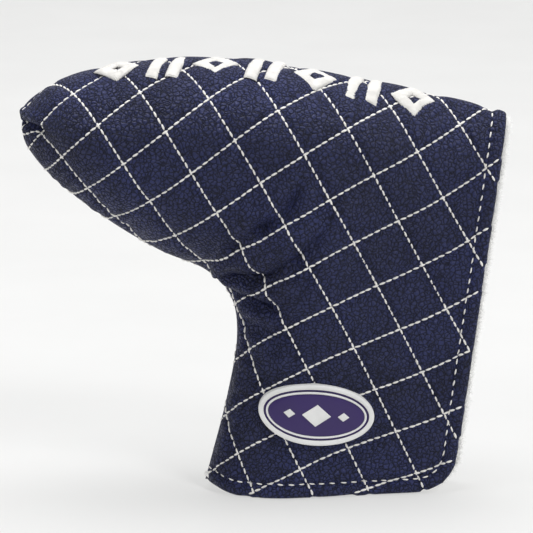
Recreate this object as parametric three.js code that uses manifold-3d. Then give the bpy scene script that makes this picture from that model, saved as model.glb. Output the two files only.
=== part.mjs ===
// Quilted head cover for a blade putter, standing on its shaft opening.
// Millimetres, +Z up, +X towards the heel edge, -Y towards the badge side.
//
// Every layer is a "pillow": a patch in the XZ plane between the sole fold and the
// lower outline, raised to both sides of the mid plane by halfThickness().
// Layers are pillows at different depths, cut from each other and trimmed at the
// two open edges, so they nest with an even gap.
import * as THREE from 'three';
import { mergeVertices } from 'three/addons/utils/BufferGeometryUtils.js';
import Module from 'manifold-3d';

const wasm = await Module();
wasm.setup();

// ---------- driving dimensions ----------
const HEAD_HALF = 22.5;          // half thickness around the putter head
const NECK_HALF = 15.0;          // half thickness around the shaft
const HEEL_HALF = 7.6;           // half thickness at the open heel edge
const HEEL_FADE = 62;            // how far the heel edge flattens the body
const NECK_TOP = 98;             // heights between which neck becomes head
const NECK_LOW = 34;
const SOLE_ROUND = 21;           // roundness of the folded sole
const SEAM_ROUND = 27;           // roundness above the turned seam

const GAP = 0.3;                 // clearance between neighbouring layers
const INNER_GAP = 0.4;           // clearance between wadding and lining
const LEATHER = 1.0;
const WADDING = 2.6;
const WADDING_EDGE = 1.0;        // wadding flattened by the topstitching
const LINING = 2.2;
const LINING_EDGE = 1.6;
const EDGE_TAPER = 18;           // width of the flattened border
const TURN = 1.2;                // leather turned over the raw edge
const LINING_PROUD = 1.2;        // plush showing past the heel edge

const SEAM_ALLOWANCE = 5.0;
const SEAM_HALF = 0.7;
const STRIP_THICK = 1.2;         // hook and loop strips
const STRIP = { length: 36, width: 14, fromEdge: 12, height: 41 };

const HINGE_LOW = [-9, 0];       // fold line of the rear flap, in XZ
const HINGE_HIGH = [72.4, 106];
const HINGE_Y = 8.5;
const FLAP_OPEN = 50;            // degrees
const FLAP_SPARE = 4;            // degrees of extra room in the groove

const MARK_THICK = 0.8;          // raised embroidery
const MARK_HEIGHT = 15;
const MARK_PITCH = 15;
const MARK_STROKE = 4.0;
const DIAMOND_WIDTH = 14;
const BAR_SLANT = 3.0;
const BAR_SPACING = 6.2;

const BADGE = { x: 15.8, z: 27.5, width: 36, height: 19.5 };
const BADGE_BASE = 1.4;
const BADGE_RAISE = 0.7;
const BADGE_RIM = 1.6;
const EMBLEM_WIDTH = 9;
const EMBLEM_HEIGHT = 7;
const EMBLEM_THICK = 0.5;

const RUN_OUT = 8;               // pillows run past the open edges before trimming
const FAR = 200;
const STEPS_LONG = 24;           // mesh steps from toe to heel
const STEPS_DEEP = 10;           // mesh steps from sole to lower outline
const DEGREE = Math.PI / 180;

// outline, toe tip first
const TOE_TIP = [-74.7, 114.3];
const SOLE = [
  TOE_TIP, [-73.2, 120.4], [-65.6, 128], [-48.9, 133.4], [-30.4, 135.3],
  [-4, 135.3], [20.8, 130.9], [41.5, 127.0], [74.3, 119.5], [82.3, 117.7],
];
const SEAM = [
  TOE_TIP, [-72.7, 108.3], [-64.3, 98.4], [-48, 85.7], [-32.6, 76.4], [-18.5, 70.2],
  [-10.6, 61.5], [-8.8, 48.4], [-11.9, 29.7], [-16.5, 11.3], [-19, 1], [-20, -RUN_OUT],
];
const HEEL_TOP = [74.3, 119.5];
const HEEL_FOOT = [58.6, 0];
const FOOT_CORNER = 13;          // radius where the heel edge meets the bottom edge
const SEAM_END_LIFT = 2.2;       // bottom edge rises towards the end of the seam
const SOLE_SHARE_AT_FOOT = 0.7; // share of the sole that faces the seam
const LINE_BOW = 0.33;           // how strongly mesh lines bow to meet both outlines squarely
const FOOT_REACH = 12;           // length of the square run where a line meets the seam
const THROAT_AT = 0.6;           // shorter runs around the throat, by share of the seam
const THROAT_SPAN = 0.15;
const THROAT_TIGHT = 0.55;

// ---------- small helpers ----------
const clamp01 = (t) => Math.min(1, Math.max(0, t));
const smooth = (t) => { const c = clamp01(t); return c * c * (3 - 2 * c); };
const mix = (a, b, t) => a + (b - a) * t;
const toVectors = (points) => points.map(([x, z]) => new THREE.Vector2(x, z));

function toManifold(geometry) {
  const bare = geometry.clone();
  for (const name of Object.keys(bare.attributes)) {
    if (name !== 'position') bare.deleteAttribute(name);
  }
  const merged = mergeVertices(bare, 1e-4);
  const index = merged.index.array;
  const triangles = [];
  for (let i = 0; i < index.length; i += 3) {
    const [a, b, c] = [index[i], index[i + 1], index[i + 2]];
    if (a !== b && b !== c && a !== c) triangles.push(a, b, c);
  }
  return new wasm.Manifold(new wasm.Mesh({
    numProp: 3,
    vertProperties: new Float32Array(merged.attributes.position.array),
    triVerts: new Uint32Array(triangles),
  }));
}

function toGeometry(manifold) {
  const mesh = manifold.getMesh();
  const geometry = new THREE.BufferGeometry();
  geometry.setAttribute('position', new THREE.BufferAttribute(mesh.vertProperties, 3));
  geometry.setIndex(new THREE.BufferAttribute(mesh.triVerts, 1));
  geometry.computeVertexNormals();
  return geometry;
}

function moved(solid, x, y, z) {
  return toManifold(toGeometry(solid).translate(x, y, z));
}

// a flat XZ shape made a prism along Y, from yLow to yHigh
function prismAlongY(shape, yLow, yHigh) {
  const geometry = new THREE.ExtrudeGeometry(shape, {
    depth: yHigh - yLow, bevelEnabled: false, curveSegments: 10,
  });
  geometry.rotateX(Math.PI / 2);
  geometry.translate(0, yHigh, 0);
  return toManifold(geometry);
}

// ---------- outline ----------
const sole = new THREE.SplineCurve(toVectors(SOLE));
const seam = new THREE.SplineCurve(toVectors(SEAM));

// unit normal of a curve, towards the inside of the outline
function inwardNormal(curve, t, side) {
  const tangent = t === 0 ? new THREE.Vector2(0, side) : curve.getTangentAt(t);
  return new THREE.Vector2(side * tangent.y, -side * tangent.x);
}

function insetPoint(curve, t, inset, side) {
  return curve.getPointAt(t).addScaledVector(inwardNormal(curve, t, side), inset);
}

function insetLine(curve, inset, side) {
  const count = 90;
  return Array.from({ length: count + 1 }, (_, i) => insetPoint(curve, i / count, inset, side));
}

function distanceTo(line, x, z) {
  let best = Infinity;
  for (let i = 1; i < line.length; i += 1) {
    const [a, b] = [line[i - 1], line[i]];
    const [ex, ez] = [b.x - a.x, b.y - a.y];
    const t = clamp01(((x - a.x) * ex + (z - a.y) * ez) / (ex * ex + ez * ez));
    best = Math.min(best, Math.hypot(x - a.x - t * ex, z - a.y - t * ez));
  }
  return best;
}

function heelXAt(z) {
  return mix(HEEL_FOOT[0], HEEL_TOP[0], z / HEEL_TOP[1]);
}

function depthAt(x, z, body, edge) {
  return mix(edge, body, smooth((heelXAt(z) - x) / EDGE_TAPER));
}

// Half thickness: the body's own fullness, fading to the heel edge, times a round
// shoulder at the sole and a slightly sharper one at the seam.
function halfThickness(x, z, depth, fromSole, fromSeam) {
  const full = mix(NECK_HALF, HEAD_HALF, smooth((z - NECK_LOW) / (NECK_TOP - NECK_LOW)));
  const fullness = mix(HEEL_HALF, full, smooth((heelXAt(z) - x) / HEEL_FADE)) - depth;
  const a = clamp01(fromSole / (SOLE_ROUND - depth));
  const b = clamp01(fromSeam / (SEAM_ROUND - depth));
  return fullness * Math.sqrt(1 - (1 - a) ** 2) * (1 - (1 - b) ** 2) ** 0.62;
}

// Foot of the mesh line that starts at share u of the sole, and the direction in
// which the line arrives there: on the seam, or on the run-out of the bottom edge.
function lowerEnd(u, inset) {
  if (u <= SOLE_SHARE_AT_FOOT) {
    const t = u / SOLE_SHARE_AT_FOOT;
    const normal = inwardNormal(seam, t, -1);
    normal.y += smooth((t - 0.75) * 4);
    normal.normalize();
    const reach = FOOT_REACH * (1 - THROAT_TIGHT * Math.exp(-(((t - THROAT_AT) / THROAT_SPAN) ** 2)));
    return { point: insetPoint(seam, t, inset, -1), normal, reach };
  }
  const share = (u - SOLE_SHARE_AT_FOOT) / (1 - SOLE_SHARE_AT_FOOT);
  const x = mix(insetPoint(seam, 1, inset, -1).x, heelXAt(-RUN_OUT) + RUN_OUT, share);
  const turn = smooth(0.35 + share * 3) * Math.PI / 2;
  const normal = new THREE.Vector2(Math.cos(turn), Math.sin(turn));
  return { point: new THREE.Vector2(x, -RUN_OUT), normal, reach: FOOT_REACH };
}

// Pillow at a depth below the outer surface; body and edge are the depths in the
// middle and at the heel border. Negative depths lie outside the surface. Its mesh
// lines leave the sole and reach the seam at right angles.
function pillow(body, edge = body) {
  const soleLine = insetLine(sole, body, 1);
  const seamLine = insetLine(seam, body, -1);
  const rings = [];
  for (let i = 0; i <= STEPS_LONG; i += 1) {
    const u = i / STEPS_LONG;
    const top = insetPoint(sole, u, body, 1);
    const foot = lowerEnd(u, body);
    const reach = LINE_BOW * top.distanceTo(foot.point);
    const line = new THREE.CubicBezierCurve(
      top, top.clone().addScaledVector(inwardNormal(sole, u, 1), reach),
      foot.point.clone().addScaledVector(foot.normal, Math.min(reach, foot.reach)), foot.point,
    );
    const front = [];
    for (let j = 0; j <= STEPS_DEEP; j += 1) {
      const { x, y: z } = line.getPoint((1 - Math.cos(Math.PI * j / STEPS_DEEP)) / 2);
      const onFold = j === 0 || i === 0 || (j === STEPS_DEEP && u <= SOLE_SHARE_AT_FOOT);
      const y = onFold ? 0 : halfThickness(
        x, z, depthAt(x, z, body, edge), distanceTo(soleLine, x, z), distanceTo(seamLine, x, z),
      );
      front.push([x, y, z]);
    }
    rings.push(front);
  }
  const positions = [];
  const quad = (a, b, c, d) => positions.push(...a, ...b, ...c, ...a, ...c, ...d);
  const flip = ([x, y, z]) => [x, -y, z];
  for (let i = 0; i < STEPS_LONG; i += 1) {
    for (let j = 0; j < STEPS_DEEP; j += 1) {
      const [a, b, c, d] = [rings[i][j], rings[i + 1][j], rings[i + 1][j + 1], rings[i][j + 1]];
      quad(a, b, c, d);
      quad(flip(a), flip(d), flip(c), flip(b));
    }
    const [a, b] = [rings[i][STEPS_DEEP], rings[i + 1][STEPS_DEEP]];
    quad(a, b, flip(b), flip(a));
  }
  for (let j = 0; j < STEPS_DEEP; j += 1) {
    const [a, b] = [rings[STEPS_LONG][j], rings[STEPS_LONG][j + 1]];
    quad(a, flip(a), flip(b), b);
  }
  const geometry = new THREE.BufferGeometry();
  geometry.setAttribute('position', new THREE.Float32BufferAttribute(positions, 3));
  return toManifold(geometry);
}

// Everything inside the two open edges; inward shrinks it there. The sole and the
// seam are left free.
function openEdgeTrim(inwardHeel, inwardFoot) {
  const along = new THREE.Vector2(HEEL_TOP[0] - HEEL_FOOT[0], HEEL_TOP[1] - HEEL_FOOT[1]).normalize();
  const heel = (z) => heelXAt(z) - inwardHeel / along.y;
  const radius = FOOT_CORNER - inwardHeel;
  const lift = 10;
  const shape = new THREE.Shape();
  shape.moveTo(-FAR, SEAM_END_LIFT + inwardFoot);
  shape.lineTo(-19, SEAM_END_LIFT + inwardFoot);
  shape.lineTo(-19 + lift, inwardFoot);
  shape.lineTo(heel(inwardFoot) - radius, inwardFoot);
  shape.quadraticCurveTo(
    heel(inwardFoot), inwardFoot,
    heel(inwardFoot + radius), inwardFoot + radius,
  );
  shape.lineTo(heel(FAR), FAR);
  shape.lineTo(-FAR, FAR);
  shape.closePath();
  return prismAlongY(shape, -60, 60);
}

// ---------- rear flap ----------
const hingeSpan = new THREE.Vector2(HINGE_HIGH[0] - HINGE_LOW[0], HINGE_HIGH[1] - HINGE_LOW[1]);
const hingeDirection = new THREE.Vector3(hingeSpan.x, 0, hingeSpan.y).normalize();

// Prism along the fold line: the rear side beyond it, straight below the hinge line
// and slanted above it, so that the flap can turn outwards.
function beyondFold(shift) {
  const slant = Math.sign(shift) * 40 * Math.tan((FLAP_OPEN / 2 + FLAP_SPARE / 2) * DEGREE);
  const shape = new THREE.Shape();
  shape.moveTo(shift, 0);
  shape.lineTo(FAR, 0);
  shape.lineTo(FAR, HINGE_Y + 40);
  shape.lineTo(shift + slant, HINGE_Y + 40);
  shape.lineTo(shift, HINGE_Y);
  shape.closePath();
  const geometry = new THREE.ExtrudeGeometry(shape, { depth: 2 * FAR, bevelEnabled: false });
  geometry.translate(0, 0, -FAR);
  const across = new THREE.Vector3(hingeDirection.z, 0, -hingeDirection.x);
  const basis = new THREE.Matrix4().makeBasis(across, new THREE.Vector3(0, 1, 0), hingeDirection);
  basis.setPosition(HINGE_LOW[0], 0, HINGE_LOW[1]);
  geometry.applyMatrix4(basis);
  return toManifold(geometry);
}

const flapZone = beyondFold(GAP / 2 + 0.05);
const flapRoom = beyondFold(-GAP / 2 - 0.05);
const fixedPart = (solid) => solid.subtract(flapRoom);
const flapPart = (solid) => solid.intersect(flapZone);

// ---------- layers ----------
let depth = 0;
let edge = 0;
const outerSurface = pillow(0);
depth += LEATHER;
edge += LEATHER;
const leatherInside = pillow(depth, edge);
depth += GAP;
edge += GAP;
const waddingOutside = pillow(depth, edge);
const waddingTop = depth;
depth += WADDING;
edge += WADDING_EDGE;
const waddingInside = pillow(depth, edge);
depth += INNER_GAP;
edge += INNER_GAP;
const liningOutside = pillow(depth, edge);
depth += LINING;
edge += LINING_EDGE;
const liningInside = pillow(depth, edge);
const stripOutside = pillow(depth + GAP, edge + GAP);
const stripInside = pillow(depth + GAP + STRIP_THICK, edge + GAP + STRIP_THICK);

const insideTurn = openEdgeTrim(TURN + GAP, TURN + GAP);
const wholeOutline = openEdgeTrim(0, 0);
const hemRing = wholeOutline.subtract(openEdgeTrim(TURN, TURN));
const liningOutline = openEdgeTrim(-LINING_PROUD, 2 * GAP);

const leather = outerSurface.subtract(leatherInside).intersect(insideTurn);
const hem = outerSurface.subtract(waddingInside).intersect(hemRing);

// Turned seam: two raw edges standing inwards along the seam, in the mid plane.
function seamRibbon(nearDepth, farDepth, half) {
  const pick = (line) => line.filter((_, i) => i >= 9 && i % 3 === 0);
  const ring = [...pick(insetLine(seam, nearDepth, -1)), ...pick(insetLine(seam, farDepth, -1)).reverse()];
  return prismAlongY(new THREE.Shape(ring), -half, half);
}
const seamFar = waddingTop + SEAM_ALLOWANCE;
const seamTurn = seamRibbon(waddingTop + GAP, seamFar, SEAM_HALF).intersect(insideTurn);
const seamRoom = seamRibbon(-1, seamFar + GAP, SEAM_HALF + GAP);

const wadding = waddingOutside.subtract(waddingInside).subtract(seamRoom).intersect(insideTurn);
// the wadding's tight bend at the throat also clears the lining
const lining = liningOutside.subtract(liningInside).subtract(seamRoom)
  .subtract(wadding).subtract(moved(wadding, GAP, 0, 0)).intersect(liningOutline);

// Closure strips lie along the heel edge, inside the lining.
function stripBlock(yLow, yHigh) {
  const centre = [heelXAt(STRIP.height) - STRIP.fromEdge, STRIP.height];
  const tilt = Math.atan2(HEEL_TOP[0] - HEEL_FOOT[0], HEEL_TOP[1]);
  const corners = [[-1, -1], [1, -1], [1, 1], [-1, 1]].map(([i, j]) => {
    const x = i * STRIP.width / 2;
    const z = j * STRIP.length / 2;
    return new THREE.Vector2(
      centre[0] + x * Math.cos(tilt) + z * Math.sin(tilt),
      centre[1] - x * Math.sin(tilt) + z * Math.cos(tilt),
    );
  });
  return prismAlongY(new THREE.Shape(corners), yLow, yHigh);
}
const stripLayer = stripOutside.subtract(stripInside);
const hookStrip = stripLayer.intersect(stripBlock(-60, 0));
const loopStrip = stripLayer.intersect(stripBlock(0, 60));

// ---------- embroidered marks along the sole ----------
const markLayer = pillow(-GAP - MARK_THICK).subtract(pillow(-GAP));

function diamondShape() {
  const rhombus = (w, h) => [[w, 0], [0, h], [-w, 0], [0, -h]].map(([x, y]) => new THREE.Vector2(x, y));
  const shape = new THREE.Shape(rhombus(DIAMOND_WIDTH / 2, MARK_HEIGHT / 2));
  const inner = 1 - 2 * MARK_STROKE / DIAMOND_WIDTH;
  shape.holes.push(new THREE.Path(rhombus(inner * DIAMOND_WIDTH / 2, inner * MARK_HEIGHT / 2).reverse()));
  return shape;
}

function barShape(shiftX) {
  const [w, h] = [MARK_STROKE / 2, MARK_HEIGHT / 2];
  const lean = BAR_SLANT / 2;
  const corners = [[-w - lean, -h], [w - lean, -h], [w + lean, h], [-w + lean, h]];
  return new THREE.Shape(corners.map(([x, y]) => new THREE.Vector2(x + shiftX, y)));
}

// Stamp a flat shape through the mark layer at a place on the sole. The stamp leans
// to the badge side, more so towards the heel, where the sole narrows.
function stampOnSole(shape, x) {
  const share = (x + 45) / 90;
  const lean = mix(12, 36, share) * DEGREE;
  const top = sole.getPointAt(mix(0.17, 0.8, share));
  const geometry = new THREE.ExtrudeGeometry(shape, { depth: 16, bevelEnabled: false });
  geometry.translate(0, 0, -9);
  geometry.rotateX(lean);
  geometry.translate(x, -mix(4.5, 6.5, share), top.y);
  return markLayer.intersect(toManifold(geometry));
}

// ---------- badge ----------
function ovalPrism(width, height) {
  const shape = new THREE.Shape();
  shape.absellipse(BADGE.x, BADGE.z, width / 2, height / 2, 0, 2 * Math.PI);
  return prismAlongY(shape, -60, 0);
}
// a slab of even thickness over the badge side of the cover
function badgeSlab(low, high, outline) {
  return moved(outerSurface, 0, -high, 0).subtract(moved(outerSurface, 0, -low, 0)).intersect(outline);
}
const badgeHigh = GAP + BADGE_BASE + BADGE_RAISE;
const rimOval = ovalPrism(BADGE.width, BADGE.height);
const wellOval = ovalPrism(BADGE.width - 2 * BADGE_RIM, BADGE.height - 2 * BADGE_RIM);
const fieldOval = ovalPrism(BADGE.width - 2 * BADGE_RIM - 2 * GAP, BADGE.height - 2 * BADGE_RIM - 2 * GAP);
const badgeWell = badgeSlab(GAP + BADGE_BASE, 2 * badgeHigh, wellOval);
const badgeBase = badgeSlab(GAP, badgeHigh, rimOval).subtract(badgeWell);
const badgeField = badgeSlab(2 * GAP + BADGE_BASE, badgeHigh, fieldOval);
const emblemShape = new THREE.Shape([
  [EMBLEM_WIDTH / 2, 0], [0, EMBLEM_HEIGHT / 2], [-EMBLEM_WIDTH / 2, 0], [0, -EMBLEM_HEIGHT / 2],
].map(([x, z]) => new THREE.Vector2(BADGE.x + x, BADGE.z + z)));
const emblemLow = badgeHigh + GAP;
const badgeEmblem = badgeSlab(emblemLow, emblemLow + EMBLEM_THICK, prismAlongY(emblemShape, -60, 0));

// ---------- scene graph ----------
const finish = (color, roughness, metalness = 0) => (
  new THREE.MeshStandardMaterial({ color, roughness, metalness })
);
const navyLeather = finish(0x2a2e50, 0.55);
const foam = finish(0xd8d6cf, 0.95);
const plush = finish(0xf0efeb, 1.0);
const thread = finish(0xe9e7e2, 0.7);
const tape = finish(0x1a1b22, 0.85);
const whiteRubber = finish(0xececee, 0.45);
const purpleRubber = finish(0x36226a, 0.4);

const cover = new THREE.Group();

function add(name, solid, material) {
  const mesh = new THREE.Mesh(toGeometry(solid), material);
  mesh.name = name;
  cover.add(mesh);
}

add('quilted_outer', fixedPart(leather), navyLeather);
add('foam_wadding', fixedPart(wadding), foam);
add('plush_lining', fixedPart(lining), plush);
add('front_hem', fixedPart(hem), navyLeather);
add('seam_allowance', seamTurn, navyLeather);
add('hook_strip', hookStrip, tape);
add('rear_flap_outer', flapPart(leather), navyLeather);
add('rear_flap_wadding', flapPart(wadding), foam);
add('rear_flap_lining', flapPart(lining), plush);
add('rear_flap_hem', flapPart(hem), navyLeather);
add('loop_strip', loopStrip, tape);

for (let i = 0; i < 4; i += 1) {
  add(`stitched_diamond_${i + 1}`, stampOnSole(diamondShape(), (2 * i - 3) * MARK_PITCH), thread);
}
for (let i = 0; i < 3; i += 1) {
  for (const side of [-1, 1]) {
    const name = `stitched_bar_${2 * i + (side + 3) / 2}`;
    add(name, stampOnSole(barShape(side * BAR_SPACING / 2), (2 * i - 2) * MARK_PITCH), thread);
  }
}

add('badge_base', badgeBase, whiteRubber);
add('badge_field', badgeField, purpleRubber);
add('badge_emblem', badgeEmblem, whiteRubber);

export default cover;
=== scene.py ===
import functools
import math

import bpy
import numpy as np
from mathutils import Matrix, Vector


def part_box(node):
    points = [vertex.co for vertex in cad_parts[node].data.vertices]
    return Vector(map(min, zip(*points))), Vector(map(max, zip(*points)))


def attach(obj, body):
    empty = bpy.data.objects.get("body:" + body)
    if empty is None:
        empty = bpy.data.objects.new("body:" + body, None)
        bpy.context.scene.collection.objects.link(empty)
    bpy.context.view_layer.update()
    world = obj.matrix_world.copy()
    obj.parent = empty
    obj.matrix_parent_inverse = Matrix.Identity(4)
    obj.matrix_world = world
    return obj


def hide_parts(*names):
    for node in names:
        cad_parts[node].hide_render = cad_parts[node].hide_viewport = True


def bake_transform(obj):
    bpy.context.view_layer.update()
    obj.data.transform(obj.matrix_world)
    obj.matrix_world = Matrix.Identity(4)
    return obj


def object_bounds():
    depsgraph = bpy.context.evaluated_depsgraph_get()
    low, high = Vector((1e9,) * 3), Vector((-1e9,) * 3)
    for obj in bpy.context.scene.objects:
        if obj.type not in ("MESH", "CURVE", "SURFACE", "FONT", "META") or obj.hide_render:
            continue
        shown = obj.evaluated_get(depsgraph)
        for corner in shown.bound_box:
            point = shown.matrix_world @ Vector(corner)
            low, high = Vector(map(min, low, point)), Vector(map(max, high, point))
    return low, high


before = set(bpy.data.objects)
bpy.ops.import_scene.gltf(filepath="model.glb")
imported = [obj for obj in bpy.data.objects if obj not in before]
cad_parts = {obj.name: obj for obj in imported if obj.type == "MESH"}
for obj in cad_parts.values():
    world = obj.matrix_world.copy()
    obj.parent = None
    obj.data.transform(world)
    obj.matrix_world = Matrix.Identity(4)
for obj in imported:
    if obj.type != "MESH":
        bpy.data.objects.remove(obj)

bl_info = {
    "name": "Quilted Putter Cover",
    "version": (1, 0, 0),
    "blender": (4, 5, 0),
    "location": "3D View > Sidebar > Putter Cover",
    "description": "Builds a quilted, plush-lined head cover for a blade putter",
    "category": "Add Mesh",
}

CAD_BOX = [list(corner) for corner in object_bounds()]

# Lengths below are millimetres in the frame's own axes, and MM turns them to metres.
MM = 0.001

# ---------- the cover's pattern ----------
TOE_TIP = (-74.7, 114.3)
SOLE = [TOE_TIP, (-73.2, 120.4), (-65.6, 128), (-48.9, 133.4), (-30.4, 135.3),
        (-4, 135.3), (20.8, 130.9), (41.5, 127.0), (74.3, 119.5), (82.3, 117.7)]
SEAM = [TOE_TIP, (-72.7, 108.3), (-64.3, 98.4), (-48, 85.7), (-32.6, 76.4), (-18.5, 70.2),
        (-10.6, 61.5), (-8.8, 48.4), (-11.9, 29.7), (-16.5, 11.3), (-18.9, 2.2)]
HEEL_TOP = (74.3, 119.5)
HEEL_FOOT = (58.6, 0.0)
FOOT_CORNER = 13.0
FOOT_RISE = [(-18.9, 2.2), (-14.0, 0.8), (-9.0, 0.0)]
EDGE_ROLL = 1.1
FLANGE = 4.0
# Share of the sole's length whose mesh lines end on the closed seam, not on the bottom edge.
SEAM_SHARE = 0.70
# Share of a mesh line's length taken by its handle at the sole, and the most at its foot.
HANDLE, FOOT_HANDLE = 0.33, 12.0

HEAD_HALF, NECK_HALF, HEEL_HALF = 22.5, 15.0, 7.6
HEEL_FADE = 62.0
NECK_LOW, NECK_TOP = 34.0, 98.0
SOLE_ROUND, SEAM_ROUND = 21.0, 27.0

ALONG, DOWN = 320, 210
HEM_STITCH_IN, HEM_PITCH, HEM_LENGTH, HEM_RADIUS = 4.7, 3.3, 2.0, 0.24
PILLOW_RIM, WAVE = 1.5, 0.22
HEM_GROOVE, HEM_BEAD, HEM_BEAD_IN = 0.75, 0.35, 2.2
PUCKER, PUCKER_PITCH = 0.32, 5.3
STITCH_RISE = 0.22

LINING_ALONG, LINING_DOWN = 200, 130
LINING_DEPTH, LINING_EDGE, LINING_THICK, LINING_EDGE_THICK = 4.3, 2.5, 2.2, 1.6
EDGE_TAPER, LINING_PROUD = 18.0, 0.7
LINING_INSET = 0.5
LIP_TURN = np.linspace(0, math.pi, 9)[1:-1]
LIP_TUFTS, INNER_TUFTS = 6000, 4500
TUFT_RADIUS, TUFT_FLOOR, OPEN_ENOUGH = 0.2, 0.15, 3.5

MARK_PITCH, MARK_STROKE, MARK_HEIGHT, DIAMOND_WIDTH, BAR_SLANT = 15.0, 4.0, 15.0, 14.0, 3.0
MARK_RAISE = 0.75
# Painted shade: the embroidery thread is darkened by this factor to offset the brighter light on the crest.
MARK_PAINTED_SHADE = 0.8
RIM_WIDTH, BADGE_TILT = 1.6, math.radians(-6)

# The camera aims this far, in metres, from the middle of the cover's box.
AIM_SHIFT = (0.0003, 0.0, 0.0026)
BACKDROP_HALF_WIDTH = 2500.0
BACKDROP = [(-1600, 0), (900, 0), (1300, 60), (1550, 320), (1620, 700), (1640, 2000)]
# Name, place, target and size in metres, and power in watts.
LIGHTS = [
    ("key", (0.7, -0.75, 1.0), (0.0, 0.0, 0.07), 0.3, 7.0),
    ("top", (-0.1, 0.1, 1.3), (0.0, 0.0, 0.07), 0.9, 12.0),
    ("fill", (-1.2, -0.6, 0.9), (0.0, 0.0, 0.07), 0.5, 5.0),
    ("side", (1.3, 0.15, 0.55), (0.0, 0.0, 0.07), 0.6, 4.5),
    ("front", (0.0, -1.7, 0.5), (0.0, 0.0, 0.0), 0.9, 1.2),
    ("backdrop_wash", (0.0, 0.35, 1.5), (0.0, 1.6, 0.6), 1.4, 10.0),
]
WORLD_STRENGTH = 0.17


def middle_x(node):
    """X of the middle of a CAD node's box, in mm."""
    low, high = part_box(node)
    return (low[0] + high[0]) / 2 / MM


def smooth(t):
    """Smoothstep: 0 below 0, 1 above 1, with level ends."""
    t = np.clip(t, 0.0, 1.0)
    return t * t * (3.0 - 2.0 * t)


def mix(a, b, t):
    return a + (b - a) * t


def unit(vectors):
    """Vectors at length 1; a zero vector stays zero."""
    return vectors / (np.linalg.norm(vectors, axis=-1, keepdims=True) + 1e-9)


def lengths(line):
    """Distance travelled along a line, at each of its points."""
    return np.concatenate([[0.0], np.cumsum(np.linalg.norm(np.diff(line, axis=0), axis=1))])


def at_length(line, where):
    """Points of a line at the given distances along it."""
    run = lengths(line)
    return np.stack([np.interp(where, run, line[:, k]) for k in range(line.shape[1])], axis=-1)


def spline(points, fine=60):
    """Catmull-Rom curve through the points, with both end points doubled."""
    p = np.asarray(points, float)
    p = np.vstack([p[:1], p, p[-1:]])
    t = np.linspace(0, len(p) - 3, fine * (len(p) - 3) + 1)
    i = np.minimum(t.astype(int), len(p) - 4)
    f = (t - i)[:, None]
    a, b, c, d = p[i], p[i + 1], p[i + 2], p[i + 3]
    return 0.5 * (2 * b + (c - a) * f + (2 * a - 5 * b + 4 * c - d) * f ** 2
                  + (3 * b - a - 3 * c + d) * f ** 3)


def left_normals(line):
    """Unit normals to the left of a flat line's direction of travel."""
    step = unit(np.gradient(line, axis=0))
    return np.stack([-step[:, 1], step[:, 0]], axis=1)


def nearest(line, x, z):
    """Distance from each (x, z) to a line, and how far along the line its nearest point is."""
    shape = np.shape(x)
    x, z = np.ravel(x), np.ravel(z)
    a, b = line[:-1], line[1:]
    e = b - a
    square = (e ** 2).sum(1) + 1e-12
    run = lengths(line)
    best, place = np.empty(len(x)), np.empty(len(x))
    for low in range(0, len(x), 20000):
        part = slice(low, low + 20000)
        dx, dz = x[part, None] - a[:, 0], z[part, None] - a[:, 1]
        t = np.clip((dx * e[:, 0] + dz * e[:, 1]) / square, 0, 1)
        gap = np.hypot(dx - t * e[:, 0], dz - t * e[:, 1])
        k = gap.argmin(1)
        rows = np.arange(len(k))
        best[part] = gap[rows, k]
        place[part] = run[k] + t[rows, k] * np.sqrt(square[k])
    return best.reshape(shape), place.reshape(shape)


SOLE_LINE = at_length(spline(SOLE), np.linspace(0, lengths(spline(SOLE))[-1], 160))
SEAM_LINE = at_length(spline(SEAM), np.linspace(0, lengths(spline(SEAM))[-1], 160))
SEAM_RUN_ON = np.vstack([SEAM_LINE, SEAM_LINE[-1] + [(-0.8, -10.0)]])


def heel_x(z):
    """X of the straight heel edge at a height."""
    return mix(HEEL_FOOT[0], HEEL_TOP[0], z / HEEL_TOP[1])


def seam_shoulder(b):
    """Share of the fullness reached at a share b of the rounding's width in from the seam."""
    return (1 - (1 - b) ** 2) ** 0.62


def half_thickness(x, z, inset=0.0, to_seam=True):
    """Fullness of the body, fading to the heel edge, times a round shoulder at the sole
    and, unless it is left out, a slightly sharper one at the seam."""
    from_sole = np.maximum(nearest(SOLE_LINE, x, z)[0] - inset, 0)
    from_seam = np.maximum(nearest(SEAM_RUN_ON, x, z)[0] - inset, 0)
    full = mix(NECK_HALF, HEAD_HALF, smooth((z - NECK_LOW) / (NECK_TOP - NECK_LOW)))
    full = mix(HEEL_HALF, full, smooth((heel_x(z) - x) / HEEL_FADE)) - inset
    a = np.clip(from_sole / (SOLE_ROUND - inset), 0, 1)
    b = np.clip(from_seam / (SEAM_ROUND - inset), 0, 1) if to_seam else 1.0
    return full * np.sqrt(1 - (1 - a) ** 2) * seam_shoulder(b)


def corner_arc(lift, inset):
    """Quadratic curve that rounds the corner between the bottom edge and the heel edge."""
    t = np.linspace(0, 1, 41)[:, None]
    low = np.array([heel_x(lift) - FOOT_CORNER - inset, lift])
    mid = np.array([heel_x(lift) - inset, lift])
    high = np.array([heel_x(FOOT_CORNER) - inset, FOOT_CORNER])
    return (1 - t) ** 2 * low + 2 * t * (1 - t) * mid + t ** 2 * high


def open_edge(lift, inset):
    """The open edge from the end of the seam, along the bottom and up the heel edge, lifted
    off the bottom and set in from the heel edge, and the place of the corner's middle."""
    rise = spline(FOOT_RISE, 12) + [(0, lift)]
    arc = corner_arc(lift, inset)
    top = np.array([[HEEL_TOP[0] - inset, HEEL_TOP[1]]])
    flat = np.linspace(rise[-1], arc[0], 30)[1:-1]
    side = np.linspace(arc[-1], top[0], 60)[1:]
    return np.vstack([rise, flat, arc, side]), len(rise) + len(flat) + len(arc) // 2


def sole_shares(along):
    """Share of the sole's length for each mesh line, closer together at both ends."""
    u = np.linspace(0, 1, along + 1)
    return u + 0.35 * u * (u - 1) * (1 - 2 * u)


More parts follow.
